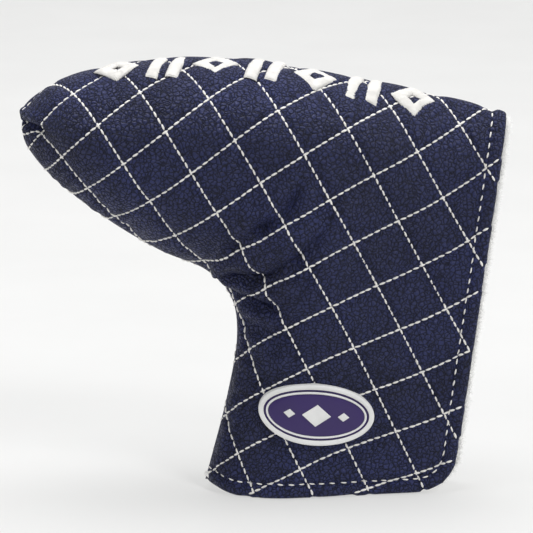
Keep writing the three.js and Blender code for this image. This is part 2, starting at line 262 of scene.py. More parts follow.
def open_row(along):
    """The first mesh line whose foot is on the open bottom edge."""
    return int(np.argmax(sole_shares(along) > SEAM_SHARE))


def flat_grid(lift, inset, closed=0.0, closed_heel=0.0, along=ALONG, down=DOWN):
    """Grid over the cover's outline, in the XZ plane. Each mesh line is a cubic curve that
    leaves the sole at a right angle and meets the seam or the bottom edge squarely; the
    last line is pulled onto the heel edge. The grid is set in by lift at the bottom, inset
    at the heel edge, closed at the seam and sole, and closed_heel at the sole's heel end."""
    u = sole_shares(along)
    tau = np.linspace(0, 1, down + 1)
    edge, middle = open_edge(lift, inset)
    sole_end = nearest(SOLE_LINE, np.array([HEEL_TOP[0] - inset]), np.array([HEEL_TOP[1]]))[1][0]
    closed = mix(closed, closed_heel, smooth((u - 0.7) / 0.3))[:, None]
    sole_normal = -left_normals(SOLE_LINE)
    sole_normal[0] = (1, 0)
    seam_normal = left_normals(SEAM_LINE)
    seam_normal[0] = (1, 0)
    run = lengths(SOLE_LINE)
    pull = np.stack([np.interp(u * sole_end, run, sole_normal[:, k]) for k in range(2)], axis=1)
    top = at_length(SOLE_LINE, u * sole_end) + closed * pull
    on_seam = u <= SEAM_SHARE
    share = np.clip(u / SEAM_SHARE, 0, 1) * lengths(SEAM_LINE)[-1]
    run = lengths(SEAM_LINE)
    turn = np.stack([np.interp(share, run, seam_normal[:, k]) for k in range(2)], axis=1)
    foot = at_length(SEAM_LINE, share) + closed * turn
    turn[:, 1] += smooth((u / SEAM_SHARE - 0.75) * 4)
    bottom = edge[:middle + 1]
    part = np.clip((u - SEAM_SHARE) / (1 - SEAM_SHARE), 0, 1)
    low = at_length(bottom, part * lengths(bottom)[-1])
    foot = np.where(on_seam[:, None], foot, low)
    up = smooth(0.35 + part * 3) * math.pi / 2
    turn = np.where(on_seam[:, None], turn, np.stack([np.cos(up), np.sin(up)], axis=1))
    turn = unit(turn)
    span = np.linalg.norm(top - foot, axis=1)[:, None]
    tight = 1 - 0.55 * np.exp(-((u / SEAM_SHARE - 0.6) / 0.15) ** 2)
    reach = np.minimum(HANDLE * span, FOOT_HANDLE * np.where(on_seam, tight, 1)[:, None])
    from_seam = smooth((SEAM_SHARE + 0.04 - u) / 0.08)[:, None]
    v = mix(1 - np.cos(math.pi * tau / 2), (1 - np.cos(math.pi * tau)) / 2, from_seam)[..., None]
    p0, p3 = top[:, None], foot[:, None]
    p1, p2 = p0 + (HANDLE * span * pull)[:, None], p3 + (reach * turn)[:, None]
    grid = (1 - v) ** 3 * p0 + 3 * v * (1 - v) ** 2 * p1 + 3 * v ** 2 * (1 - v) * p2 + v ** 3 * p3
    heel = edge[middle:][::-1]
    heel = np.vstack([top[-1:], heel[heel[:, 1] < top[-1, 1] - 0.1]])
    heel = at_length(heel, v[-1, :, 0] * lengths(heel)[-1])
    grid += smooth((u - 0.72) / 0.28)[:, None, None] * (heel - grid[-1])[None]
    return grid


def both_sides(half):
    """A grid from the sole down, mirrored into one from front foot over sole to rear foot."""
    return np.concatenate([half[:, ::-1], half[:, 1:]], axis=1)


def folded_grid(flat, inset=0.0):
    """The flat grid raised to both sides by the half thickness and joined over the sole."""
    y = half_thickness(flat[..., 0], flat[..., 1], inset)
    y[:, 0] = 0
    y[0] = 0
    side = np.where(np.arange(2 * y.shape[1] - 1) < y.shape[1], -1.0, 1.0)
    return np.stack([both_sides(flat[..., 0]), both_sides(y) * side, both_sides(flat[..., 1])], axis=-1)


def grid_normals(grid):
    """Outward unit normals: the cross product of the grid's two directions."""
    n = unit(np.cross(np.gradient(grid, axis=0), np.gradient(grid, axis=1)))
    n[0] = (-1, 0, 0)
    return n


# ---------- how the cloth lies on the body, and its quilting ----------
# The cloth is measured by s along the sole and by t down from it, positive on the front.
# Each family of lines is numbered by a field: s over one spacing, plus t over another, plus
# a start, plus slight bends in s and t that turn the cloth towards the heel.
CLOTH_DEPTH = 142.0
STEEP = {"along": 19.9, "down": -30.3, "start": 0.553, "bend": -0.000064, "sag": 0.000023}
SHALLOW = {"along": 22.9, "down": 20.5, "start": 0.668, "bend": 0.000077, "sag": 0.000062}


@functools.cache
def cloth_table(step=0.75, rows=240):
    """For columns of constant x: their x, the sole's height there, depths that grow with the
    square of the row, the half thickness there, and the distance over the surface from the
    sole, which leaves the rounding at the seam out."""
    x = np.arange(SOLE_LINE[:, 0].min(), SOLE_LINE[:, 0].max(), step)
    crest = np.interp(x, SOLE_LINE[:, 0], SOLE_LINE[:, 1])
    fall = CLOTH_DEPTH * np.linspace(0, 1, rows + 1) ** 2
    wide = np.repeat(x[:, None], rows + 1, axis=1)
    deep = crest[:, None] - fall[None]
    height = half_thickness(wide, deep)
    plain = half_thickness(wide, deep, to_seam=False)
    height[:, 0] = plain[:, 0] = 0
    run = np.cumsum(np.hypot(np.diff(fall)[None], np.diff(plain, axis=1)), axis=1)
    return x, crest, fall, height, np.concatenate([np.zeros((len(x), 1)), run], axis=1)


@functools.cache
def seam_excess_table(steps=160, fullest=24):
    """How much longer the way over the rounding at the seam is than the flat way, from its
    inner end to each distance from the seam, for each fullness in mm."""
    gap = SEAM_ROUND * np.linspace(0, 1, steps + 1) ** 2
    rise = np.arange(fullest + 1)[:, None] * seam_shoulder(gap / SEAM_ROUND)[None]
    extra = np.hypot(np.diff(gap)[None], np.diff(rise, axis=1)) - np.diff(gap)
    from_inside = np.cumsum(extra[:, ::-1], axis=1)[:, ::-1]
    return np.concatenate([from_inside, np.zeros((fullest + 1, 1))], axis=1)


def sample(table, u, v):
    """Bilinear interpolation of a table at fractional rows and columns."""
    u = np.clip(u, 0, table.shape[0] - 1.001)
    v = np.clip(v, 0, table.shape[1] - 1.001)
    i, j = u.astype(int), v.astype(int)
    f, g = u - i, v - j
    if table.ndim > 2:
        f, g = f[..., None], g[..., None]
    return mix(mix(table[i, j], table[i + 1, j], f), mix(table[i, j + 1], table[i + 1, j + 1], f), g)


def cloth_place(x, z):
    """Cloth coordinates of points: x and the distance down from the sole, both moved towards
    the seam by the extra length of the rounding there."""
    columns, crest, _, _, run = cloth_table()
    column = (x - columns[0]) / (columns[1] - columns[0])
    top = np.interp(x, columns, crest)
    row = np.sqrt(np.maximum(top - z, 0) / CLOTH_DEPTH) * (run.shape[1] - 1)
    down = sample(run, column, row)
    gap, place = nearest(SEAM_LINE, x, z)
    excess = seam_excess_table()
    full = half_thickness(x, z, to_seam=False)
    extra = sample(excess, full, np.sqrt(np.minimum(gap / SEAM_ROUND, 1)) * (excess.shape[1] - 1))
    inward = left_normals(SEAM_LINE)
    square = np.stack([np.interp(place, lengths(SEAM_LINE), -inward[:, k]) for k in range(2)], axis=-1)
    direct = (at_length(SEAM_LINE, place) - np.stack([x, z], axis=-1)) / (gap[..., None] + 1e-6)
    toward = mix(square, direct, smooth(gap)[..., None])
    return x + extra * toward[..., 0], down - extra * toward[..., 1]


def line_number(family, s, t):
    """The field of a family of lines, whole on each line."""
    bent = family["bend"] * s ** 2 + family["sag"] * t * np.abs(t)
    return s / family["along"] + t / family["down"] + family["start"] + bent


def line_gap(family, s, t):
    """Distance in mm from the nearest line of a family: the fraction of a line number over
    the length of the field's gradient."""
    number_here = line_number(family, s, t)
    slope = np.hypot(1 / family["along"] + 2 * s * family["bend"], 1 / family["down"])
    return np.abs(number_here - np.round(number_here)) / slope


# Folds pulled into the cloth round the throat, under the toe and at its tip: points, width,
# depth, and -1 for the front or 1 for the rear.
FOLDS = [
    ([(-11.5, 64.4), (-5.0, 62.9), (1.0, 61.3), (9.0, 59.6)], 1.6, 2.8, -1),
    ([(-10, 70.5), (-0.4, 71.2), (5, 75), (10, 78.5), (14, 82.6), (17.4, 86.7), (21, 92.5)], 1.9, 2.7, -1),
    ([(0.0, 88.3), (5.1, 91.1), (7.9, 95.2), (10.6, 101.0), (12.0, 105.0)], 1.7, 1.9, -1),
    ([(-9.5, 81.0), (-4.5, 85.7), (0.5, 90.2), (3.5, 95.0)], 1.5, 1.6, -1),
    ([(-9, 56), (0, 53), (9, 48)], 2.2, 1.3, -1),
    ([(-24, 73), (-14, 84), (-8, 97)], 3.0, 0.6, -1),
    ([(-43, 84), (-34, 97), (-30, 106)], 3.2, 0.5, -1),
    ([(-74, 116.6), (-70.5, 116.2), (-66, 114.6)], 1.2, 2.6, -1),
    ([(-10, 65), (2, 62.5), (14, 57)], 2.4, 2.2, 1),
    ([(-9, 68), (2, 77), (9, 92)], 3.0, 1.2, 1),
    ([(-9, 57), (1, 52), (8, 44)], 2.6, 0.8, 1),
    ([(-72, 117), (-66, 118.5), (-60, 118)], 1.6, 1.4, 1),
]


def fold_depth(x, z, side):
    """Sum of the folds: each a valley about its line, falling sharply as exp(-d/w) on the upper
    side where the cloth hangs over it and gently as exp(-(d/w)^2) below, with a soft bank above,
    fading out over the last half of its length."""
    total = np.zeros_like(x)
    for points, width, depth, on_side in FOLDS:
        line = spline(points, 10)
        gap, place = nearest(line, x, z)
        above = z > at_length(line, place)[..., 1]
        fade = 1 - smooth((place / lengths(line)[-1] - 0.5) / 0.5)
        valley = np.where(above, np.exp(-gap / (0.55 * width)), np.exp(-(gap / (1.5 * width)) ** 2))
        bank = np.where(above, 0.5, 0.2) * np.exp(-((gap - 2.6 * width) / (1.3 * width)) ** 2)
        total += np.where(side == on_side, (valley - bank) * fade * depth, 0)
    return total


@functools.cache
def edge_line():
    """The finished open edge in the XZ plane, run on past both its ends."""
    line = open_edge(0.0, 0.0)[0]
    return np.vstack([line[:1] + (-14.7, 4.2), line, line[-1:] + (1.6, 12.0)])


def surface_relief(x, z, s, t, side, puff, edge_gap, seam_gap, seam_place):
    """Height of the quilting over the plain body: pillows that flatten with tanh away from
    both families of lines, a groove under the hem stitching, a rolled border, slow waves,
    the folds, and short puckers along the closed seam."""
    a, b = line_gap(STEEP, s, t), line_gap(SHALLOW, s, t)
    steep, shallow = line_number(STEEP, s, t), line_number(SHALLOW, s, t)
    pillow = 0.72 * np.tanh(a / PILLOW_RIM) * np.tanh(b / PILLOW_RIM)
    pillow += 0.28 * np.abs(np.sin(math.pi * steep) * np.sin(math.pi * shallow))
    border = smooth((edge_gap - 1.2) / 4.5)
    relief = puff * (mix(0.45, 1.0, border) * pillow - 0.5)
    relief -= HEM_GROOVE * np.exp(-((edge_gap - HEM_STITCH_IN) / 1.0) ** 2)
    relief += HEM_BEAD * np.exp(-((edge_gap - HEM_BEAD_IN) / 1.6) ** 2)
    waves = np.sin(x * 0.11 + z * 0.07 + 1.3) + np.sin(x * 0.071 - z * 0.13 + 0.4 + side)
    waves += 0.6 * np.sin(x * 0.23 + z * 0.19 + 2 * side)
    relief += WAVE * waves * smooth(edge_gap / 8)
    relief -= fold_depth(x, z, side)
    pucker = np.cos(seam_place * 2 * math.pi / PUCKER_PITCH + 1.1 * np.sin(seam_place * 0.31) + side)
    relief += PUCKER * pucker * np.exp(-((seam_gap - 3) / 3.2) ** 2)
    return relief * smooth(seam_gap / 2.5)


@functools.cache
def quilted_cloth(puff):
    """The quilted surface as one grid, front foot over the sole to the rear foot, with its
    normals and the fields that its stitching follows."""
    flat = flat_grid(EDGE_ROLL, EDGE_ROLL)
    base = folded_grid(flat)
    x, z = flat[..., 0], flat[..., 1]
    s, t = cloth_place(x, z)
    t[:, 0] = 0
    edge_gap, edge_place = nearest(edge_line(), x, z)
    seam_gap, seam_place = nearest(SEAM_LINE, x, z)
    columns = base.shape[1]
    side = np.where(np.arange(columns) <= DOWN, -1.0, 1.0)[None] * np.ones((base.shape[0], 1))
    s, t = both_sides(s), both_sides(t) * -side
    steep, shallow = line_number(STEEP, s, t), line_number(SHALLOW, s, t)
    x, z = base[..., 0], base[..., 2]
    edge_gap, edge_place = both_sides(edge_gap), both_sides(edge_place)
    seam_gap, seam_place = both_sides(seam_gap), both_sides(seam_place)
    lift = surface_relief(x, z, s, t, side, puff, edge_gap, seam_gap, seam_place)
    near_sole = 1 - smooth(np.abs(t) / 6)
    both = 0.5 * (lift + lift[:, ::-1])
    lift = mix(lift, mix(lift, both, 0.9), near_sole)
    grid = base + lift[..., None] * grid_normals(base)
    return {"grid": grid, "normals": grid_normals(grid), "steep": steep, "shallow": shallow,
            "edge_gap": edge_gap, "edge_place": edge_place, "side": side}


# ---------- meshes ----------
def make_mesh(name, points, faces, material, smooth_faces=True):
    """A mesh object from points in mm and a list of index arrays, one row to a face. What
    would hang below the floor is pressed flat against it."""
    points = np.column_stack([points[:, :2], points[:, 2].clip(min=0)])
    mesh = bpy.data.meshes.new(name)
    corners = np.concatenate([f.ravel() for f in faces]).astype(np.int32)
    sizes = np.concatenate([np.full(len(f), f.shape[1]) for f in faces])
    starts = np.concatenate([[0], np.cumsum(sizes)[:-1]]).astype(np.int32)
    mesh.vertices.add(len(points))
    mesh.vertices.foreach_set("co", (points * MM).astype(np.float32).ravel())
    mesh.loops.add(len(corners))
    mesh.loops.foreach_set("vertex_index", corners)
    mesh.polygons.add(len(sizes))
    mesh.polygons.foreach_set("loop_start", starts)
    mesh.polygons.foreach_set("use_smooth", np.full(len(sizes), smooth_faces))
    mesh.update(calc_edges=True)
    mesh.validate()
    mesh.materials.append(material)
    piece = bpy.data.objects.new(name, mesh)
    bpy.context.collection.objects.link(piece)
    return piece


def quads(index):
    """Four-cornered faces of a grid of vertex numbers."""
    corners = index[:-1, :-1], index[1:, :-1], index[1:, 1:], index[:-1, 1:]
    return np.stack(corners, axis=-1).reshape(-1, 4)


def sheet_faces(rows, columns):
    """Faces of a grid whose first row is a single point, and its vertex numbers."""
    rest = 1 + np.arange((rows - 1) * columns).reshape(-1, columns)
    index = np.concatenate([np.zeros((1, columns), int), rest])
    fan = np.stack([index[0, :-1], index[1, :-1], index[1, 1:]], axis=-1)
    return [fan, quads(index[1:])], index


def sheet_points(grid):
    """Points of a grid whose first row is a single point, in the order of its numbers."""
    return np.concatenate([grid[:1, 0], grid[1:].reshape(-1, 3)])


def one_side(down, rear):
    """The columns of a full grid that lie on one side of the sole's crest."""
    return slice(down, None) if rear else slice(0, down + 1)


def open_rim(index, first, rear):
    """Vertex numbers along the open edge of one side."""
    if rear:
        return np.concatenate([index[-1], index[first:-1, -1][::-1]])
    return np.concatenate([index[first:, 0], index[-1, 1:]])


def edge_path(grid, normals, first):
    """The open edge of a full grid: front foot from the seam's end, the heel edge up over the
    sole and down, and the rear foot back, with normals and outward directions."""
    last = grid.shape[1] - 1
    path = np.concatenate([grid[first:, 0], grid[-1, 1:last], grid[first:, last][::-1]])
    inner = np.concatenate([grid[first:, 2], grid[-3, 1:last], grid[first:, last - 2][::-1]])
    normal = np.concatenate([normals[first:, 0], normals[-1, 1:last], normals[first:, last][::-1]])
    along = unit(np.gradient(path, axis=0))
    out = path - inner
    out -= (out * along).sum(1, keepdims=True) * along
    out -= (out * normal).sum(1, keepdims=True) * normal
    return path, normal, unit(out)


def rolled_edge(path, normal, out, radius, flange, steps=7):
    """A half circle of the given radius carried along the edge, turning the surface inwards,
    and a flat flange after it; it shrinks to nothing where the edge meets the seam."""
    size = np.minimum(lengths(path), lengths(path)[-1] - lengths(path))
    size = smooth((size + 0.6) / 6)[:, None, None] * radius
    turn = np.linspace(0, math.pi, steps + 1)[1:, None]
    round_part = size * (np.sin(turn) * out[:, None] - (1 - np.cos(turn)) * normal[:, None])
    inward = np.array([0.5, 1.0])[:, None] * flange * size / radius * -out[:, None]
    ring = path[:, None] + np.concatenate([round_part, round_part[:, -1:] + inward], axis=1)
    return ring[:, ::-1]


def tube_faces(count, rings, sides):
    """Faces of many equal closed tubes. Each ring runs from across to up, and across is the
    cross product of the direction of travel and up, so the walls face outwards."""
    index = np.arange(count * rings * sides).reshape(count, rings, sides)
    wrap = np.concatenate([index, index[:, :, :1]], axis=2)
    walls = np.stack([wrap[:, :-1, :-1], wrap[:, 1:, :-1], wrap[:, 1:, 1:], wrap[:, :-1, 1:]], axis=-1)
    return [walls.reshape(-1, 4), index[:, 0], index[:, -1, ::-1]]


def thread_crossings(cloth, field, level):
    """Points where a field crosses a level on the edges of the grid, by linear interpolation,
    with the surface normal and both families' fields at each."""
    data = np.concatenate([cloth["grid"], cloth["normals"], cloth["steep"][..., None],
                           cloth["shallow"][..., None], cloth["edge_place"][..., None]], axis=-1)
    value = field - level
    found = []
    for a, b, p, q in ((value[:-1], value[1:], data[:-1], data[1:]),
                       (value[:, :-1], value[:, 1:], data[:, :-1], data[:, 1:])):
        hit = (a > 0) != (b > 0)
        share = (a[hit] / (a[hit] - b[hit]))[:, None]
        found.append(mix(p[hit], q[hit], share))
    return np.concatenate(found)


def split_runs(points, order, jump=3.0, least=3.0):
    """Sort points along a line and cut the line where it leaves the cloth."""
    points = points[np.argsort(order)]
    gaps = np.linalg.norm(np.diff(points[:, :3], axis=0), axis=1)
    runs = np.split(points, np.where(gaps > jump)[0] + 1)
    return [run for run in runs if len(run) > 3 and lengths(run[:, :3])[-1] > least]


def smooth_run(points, step=0.5):
    """Resample a line evenly and average it with its neighbours twice."""
    place = lengths(points[:, :3])
    even = np.arange(0, place[-1], step)
    line = np.stack([np.interp(even, place, points[:, k]) for k in range(6)], axis=1)
    for _ in range(2):
        line[1:-1] = (line[:-2] + 2 * line[1:-1] + line[2:]) / 4
    return line


def stitches(runs, pitch, length, radius, seed, rings=6, sides=6):
    """Thread stitches along runs of points and normals. Each is a tube whose radius follows
    (1 - q^4)^0.5 from end to end, that rises from the cloth and sinks at both ends, with two
    twisted plies shown by a ripple of its section. Returns points and face arrays."""
    rng = np.random.default_rng(seed)
    q = np.linspace(-1, 1, rings)
    angle = np.linspace(0, 2 * math.pi, sides, endpoint=False)
    every = []
    for run in runs:
        place = lengths(run[:, :3])
        count = max(int(round(place[-1] / pitch)), 1)
        middle = (np.arange(count) + 0.5) * place[-1] / count
        middle = middle + rng.normal(0, 0.04 * pitch, count)
        at = middle[:, None] + q[None] * length / 2
        spine = np.stack([np.interp(at, place, run[:, k]) for k in range(3)], axis=-1)
        up = np.stack([np.interp(at, place, run[:, k]) for k in range(3, 6)], axis=-1)
        across = unit(np.cross(unit(np.gradient(spine, axis=1)), up))
        slant = rng.normal(0.08, 0.05, count)[:, None, None] * q[None, :, None]
        rise = (STITCH_RISE * (1 - q ** 2) - 0.12)[None, :, None]
        spine = spine + rise * up + slant * across
        thick = radius * (0.25 + 0.75 * np.sqrt(1 - q ** 4 * 0.96)) * rng.normal(1, 0.05, (count, 1))
        twist = 1 + 0.13 * np.cos(2 * angle[None] - 3.2 * q[:, None])
        thick = thick[..., None] * twist[None]
        ring = np.cos(angle)[:, None] * across[:, :, None] + np.sin(angle)[:, None] * up[:, :, None]
        every.append(spine[:, :, None] + thick[..., None] * ring)
    points = np.concatenate(every)
    return points.reshape(-1, 3), tube_faces(len(points), rings, sides)


# ---------- materials ----------
# White of the emission: the plush's painted glow, and the floor's even brightness.
GLOW = (1.0, 1.0, 0.985, 1.0)


def node_tree(name):
    """A new material, its nodes and its shader."""
    material = bpy.data.materials.new(name)
    material.use_nodes = True
    return material, material.node_tree, material.node_tree.nodes["Principled BSDF"]


def pattern(tree, kind, position, **settings):
    """A texture node read at a position socket, with its number sockets and options set."""
    node = tree.nodes.new(kind)
    for key, value in settings.items():
        if key in node.inputs:
            node.inputs[key].default_value = value
        else:
            setattr(node, key, value)
    tree.links.new(position, node.inputs["Vector"])
    return node


def object_position(tree):
    """Object coordinates."""
    return tree.nodes.new("ShaderNodeTexCoord").outputs["Object"]


def noise(tree, position, scale, detail, **settings):
    """The grey output of a noise texture."""
    node = pattern(tree, "ShaderNodeTexNoise", position, Scale=scale, Detail=detail, **settings)
    return node.outputs["Fac"]


def ramp(tree, value, stops):
    """Colours or greys at places from 0 to 1, read by a value."""
    node = tree.nodes.new("ShaderNodeValToRGB")
    points = node.color_ramp.elements
    while len(points) < len(stops):
        points.new(0.5)
    for point, (place, colour) in zip(points, stops):
        point.position = place
        point.color = (*colour, 1.0) if isinstance(colour, tuple) else (colour, colour, colour, 1.0)
    tree.links.new(value, node.inputs["Fac"])
    return node.outputs["Color"]


def bump(tree, shader, layers):
    """Bump nodes one after another: (height socket, distance in metres, strength)."""
    normal = None
    for height, distance, strength in layers:
        node = tree.nodes.new("ShaderNodeBump")
        node.inputs["Distance"].default_value = distance
        node.inputs["Strength"].default_value = strength
        tree.links.new(height, node.inputs["Height"])
        if normal is not None:
            tree.links.new(normal, node.inputs["Normal"])
        normal = node.outputs["Normal"]
    tree.links.new(normal, shader.inputs["Normal"])


def mix_colours(tree, blend, share, a, b):
    """Two colour sockets mixed in the given way."""
    node = tree.nodes.new("ShaderNodeMixRGB")
    node.blend_type = blend
    node.inputs["Fac"].default_value = share
    tree.links.new(a, node.inputs["Color1"])
    tree.links.new(b, node.inputs["Color2"])
    return node.outputs["Color"]


def finish(tree, shader, **sockets):
    """Set the shader's sockets, named with _ for a space, each to a value or a node's output."""
    for name, value in sockets.items():
        socket = shader.inputs[name.replace("_", " ")]
        if isinstance(value, bpy.types.NodeSocket):
            tree.links.new(value, socket)
        else:
            socket.default_value = value


def shade(colour, factor):
    """A colour made darker or lighter."""
    return tuple(min(c * factor, 1.0) for c in colour[:3])


@functools.cache
def leather_material(colour):
    """Pebbled leather: domed cells about a millimetre across, drawn out unevenly by noise,
    finer pores, long creases, painted shade in the grooves, a painted highlight on the smoother high cells."""
    material, tree, shader = node_tree("navy_leather")
    position = object_position(tree)
    drift = pattern(tree, "ShaderNodeTexNoise", position, Scale=420.0, Detail=2.0)
    bent = mix_colours(tree, "LINEAR_LIGHT", 0.0009, position, drift.outputs["Color"])
    cells = pattern(tree, "ShaderNodeTexVoronoi", bent, Scale=760.0, feature="DISTANCE_TO_EDGE")
    pores = pattern(tree, "ShaderNodeTexVoronoi", bent, Scale=1500.0, feature="SMOOTH_F1")
    domes = ramp(tree, cells.outputs["Distance"], [(0.0, 0.0), (0.12, 0.62), (0.42, 1.0)])
    crease = noise(tree, position, 230.0, 5.0, Roughness=0.62, Distortion=0.8)
    creases = ramp(tree, crease, [(0.36, 0.0), (0.5, 1.0), (0.64, 0.55)])
    patch = noise(tree, position, 38.0, 3.0)
    tone = ramp(tree, patch, [(0.3, shade(colour, 0.78)), (0.7, shade(colour, 1.3))])
    # Painted shade and highlight: the colour falls to 0.22 in the grooves between cells and rises to 1.15 on
    # the high cells.
    groove = ramp(tree, domes, [(0.0, 0.22), (0.7, 1.15)])
    finish(tree, shader, Base_Color=mix_colours(tree, "MULTIPLY", 1.0, tone, groove),
           Roughness=ramp(tree, domes, [(0.0, 0.8), (1.0, 0.36)]), Specular_IOR_Level=0.36)
    bump(tree, shader, [(creases, 0.0007, 0.7), (domes, 0.0006, 1.0),
                        (pores.outputs["Distance"], 0.0001, 0.4)])
    return material


@functools.cache
def thread_material(colour):
    """Bonded thread: fine plies as close noise, slightly uneven in tone."""
    material, tree, shader = node_tree("thread")
    position = object_position(tree)
    plies = noise(tree, position, 2600.0, 2.0)
    cloud = noise(tree, position, 300.0, 2.0)
    tone = ramp(tree, cloud, [(0.3, shade(colour, 0.86)), (0.65, shade(colour, 1.0))])
    finish(tree, shader, Base_Color=tone, Roughness=0.62, Sheen_Weight=0.25)
    bump(tree, shader, [(plies, 0.00012, 0.5)])
    return material


@functools.cache
def plush_material(colour):
    """White pile: soft clumps of noise at two sizes, matt, with a sheen and a faint painted glow, an
    emission that stands in for the light that passes through it."""
    material, tree, shader = node_tree("plush")
    position = object_position(tree)
    clumps = noise(tree, position, 420.0, 4.0, Roughness=0.7)
    fibre = noise(tree, position, 2200.0, 3.0, Roughness=0.8)
    tone = ramp(tree, clumps, [(0.3, shade(colour, 0.92)), (0.62, shade(colour, 1.0))])
    # The emission is a painted glow that stands in for light shining through the pile.
    finish(tree, shader, Base_Color=tone, Roughness=0.95, Sheen_Weight=0.7,
           Emission_Color=GLOW, Emission_Strength=0.16)
    bump(tree, shader, [(clumps, 0.0007, 0.6), (fibre, 0.0002, 0.6)])
    return material


@functools.cache
def rubber_material(name, colour, roughness):
    """Moulded soft rubber: an even satin finish with faint mottling and specks."""
    material, tree, shader = node_tree(name)
    position = object_position(tree)
    cloud = noise(tree, position, 160.0, 3.0)
    speck = noise(tree, position, 1800.0, 2.0)
    tone = ramp(tree, cloud, [(0.3, shade(colour, 0.93)), (0.7, shade(colour, 1.03))])
    gloss = ramp(tree, cloud, [(0.3, roughness * 0.85), (0.7, roughness * 1.2)])
    finish(tree, shader, Base_Color=tone, Roughness=gloss)
    bump(tree, shader, [(speck, 0.00006, 0.25)])
    return material


@functools.cache
def tape_material():
    """Hook-and-loop tape: rows of small hooks as close cells over a woven ground."""
    material, tree, shader = node_tree("tape")
    position = object_position(tree)
    hooks = pattern(tree, "ShaderNodeTexVoronoi", position, Scale=1150.0).outputs["Distance"]
    weave = pattern(tree, "ShaderNodeTexWave", position, Scale=420.0, Distortion=0.6)
    tone = ramp(tree, hooks, [(0.0, (0.05, 0.05, 0.06)), (0.7, (0.006, 0.006, 0.008))])
    finish(tree, shader, Base_Color=tone, Roughness=0.85)
    bump(tree, shader, [(weave.outputs["Fac"], 0.0002, 0.4), (hooks, -0.0006, 0.8)])
    return material


@functools.cache
def floor_material():
    """Matt pale paper with a faint mottle, lit a little from behind to keep shadows on it soft."""
    material, tree, shader = node_tree("paper")
    mottle = noise(tree, object_position(tree), 14.0, 3.0)
    finish(tree, shader, Base_Color=ramp(tree, mottle, [(0.3, 0.30), (0.7, 0.32)]), Roughness=0.7,
           Specular_IOR_Level=0.2, Emission_Color=GLOW, Emission_Strength=0.475)
    return material


def place_piece(piece, rear=False, stands_for=()):
    """Attach a front piece to the cover's body, or bake a rear piece's placing into its mesh, and hide
    the CAD solids that it stands for."""
    if rear:
        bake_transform(piece)
    else:
        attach(piece, "cover")
    if stands_for:
        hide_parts(*stands_for)


def quilted_half(settings, rear):
    """One side of the quilted leather: half of the grid, with the rolled border and the inner
    flange added along its open edge. Both halves keep the whole cloth's normals."""
    cloth = quilted_cloth(settings.puff / MM)
    grid, normals = cloth["grid"], cloth["normals"]
    first = open_row(ALONG)
    path, normal, out = edge_path(grid, normals, first)
    ring = rolled_edge(path, normal, out, EDGE_ROLL, FLANGE)
    crest = (grid.shape[0] - first) + DOWN - 1
    strip = ring[one_side(crest, rear)]
    half = one_side(DOWN, rear)
    faces, index = sheet_faces(*grid[:, half].shape[:2])
    points = sheet_points(grid[:, half])
    rows = len(points) + np.arange(strip.shape[0] * strip.shape[1]).reshape(strip.shape[:2])
    faces.append(quads(np.concatenate([rows, open_rim(index, first, rear)[:, None]], axis=1)))
    points = np.concatenate([points, strip.reshape(-1, 3)])
    bend = unit(np.cross(np.gradient(strip, axis=0), np.gradient(strip, axis=1)))
    tips = np.concatenate([sheet_points(normals[:, half]), bend.reshape(-1, 3)])
    name = "quilted_rear" if rear else "quilted_front"
    piece = make_mesh(name, points, faces, leather_material(tuple(settings.leather_colour)))
    piece.data.normals_split_custom_set_from_vertices(tips.tolist())
    return piece


def side_fields(cloth, rear):
    """The cloth's grid, normals and fields on one side."""
    return {key: value[:, one_side(DOWN, rear)] for key, value in cloth.items()}


def quilt_runs(cloth, rear):
    """Every quilting line on one side, from the crossings of both families with the grid."""
    part = side_fields(cloth, rear)
    runs = []
    for name, order in (("steep", 7), ("shallow", 6)):
        field = part[name]
        for level in range(math.floor(field.min()), math.ceil(field.max()) + 1):
            points = thread_crossings(part, field, level)
            if len(points) > 3:
                runs += [smooth_run(run) for run in split_runs(points, points[:, order])]
    return runs


def hem_runs(cloth, rear):
    """The hem's stitching line: where the distance from the open edge equals its set-in."""
    part = side_fields(cloth, rear)
    points = thread_crossings(part, part["edge_gap"], HEM_STITCH_IN)
    return [smooth_run(run) for run in split_runs(points, points[:, 8])]


def thread_piece(name, runs, settings, pitch, length, radius, seed, rear):
    """One side's stitches along all its runs, as one piece."""
    points, faces = stitches(runs, pitch, length, radius, seed)
    piece = make_mesh(name, points, faces, thread_material(tuple(settings.thread_colour)))
    place_piece(piece, rear)


@functools.cache
def lining_grids():
    """Outer and inner face of the plush, front foot over the sole to the rear foot. Both
    follow the half thickness formula at their own depth, with lumps from sine waves."""
    flat = flat_grid(EDGE_ROLL, LINING_INSET, LINING_DEPTH, LINING_EDGE, LINING_ALONG, LINING_DOWN)
    taper = smooth(nearest(edge_line(), flat[..., 0], flat[..., 1])[0] / EDGE_TAPER)
    outer = folded_grid(flat, mix(LINING_EDGE, LINING_DEPTH, taper))
    x, y, z = outer[..., 0], outer[..., 1], outer[..., 2]
    lumps = np.sin(x * 1.1 + 0.7 * np.sin(z * 0.9)) * np.sin(z * 1.3 + y * 0.8 + np.sin(x * 0.7))
    lumps += 0.6 * np.sin(x * 2.3 + z * 1.7) * np.sin(z * 2.1 - x * 1.2)
    thick = both_sides(mix(LINING_EDGE_THICK, LINING_THICK, taper))
    inner = outer - (thick + 0.3 * lumps)[..., None] * grid_normals(outer)
    return outer, inner


